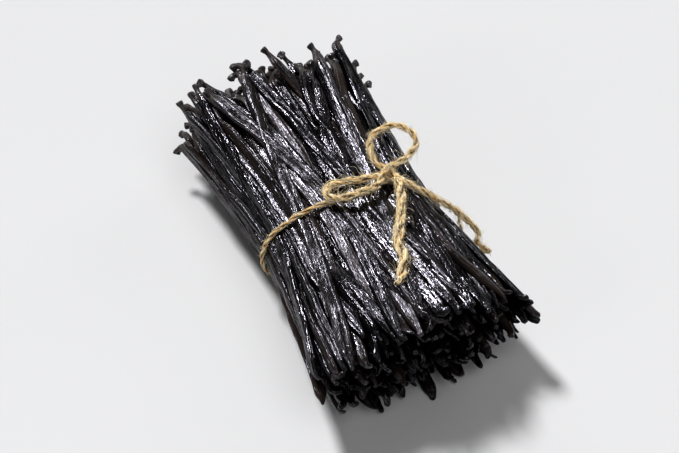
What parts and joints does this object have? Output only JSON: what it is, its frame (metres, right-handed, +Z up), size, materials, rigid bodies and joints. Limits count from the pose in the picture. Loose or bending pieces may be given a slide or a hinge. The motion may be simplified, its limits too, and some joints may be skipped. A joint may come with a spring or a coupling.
{
  "type": "bundle of vanilla pods",
  "caption": "Bundle of long dark cured vanilla pods, narrow at the waist, tied with jute twine in a small bow; lies flat.",
  "frame": {"origin": "middle of the bundle of pods, on the surface it lies on", "axes": "+X along the pods towards their blossom ends, +Y across the bundle towards the knot's side, +Z up"},
  "size_m": [0.1766, 0.109, 0.065],
  "materials": {
    "pod": "oily gloss over fine lengthwise wrinkles",
    "twine": "rough plied jute with loose fibres"
  },
  "bodies": {
    "root": {"pods": "pod", "twine_band": "twine", "twine_loop_upright": "twine", "twine_loop_flat": "twine", "twine_tail_front": "twine", "twine_tail_side": "twine"}
  },
  "joints": []
}
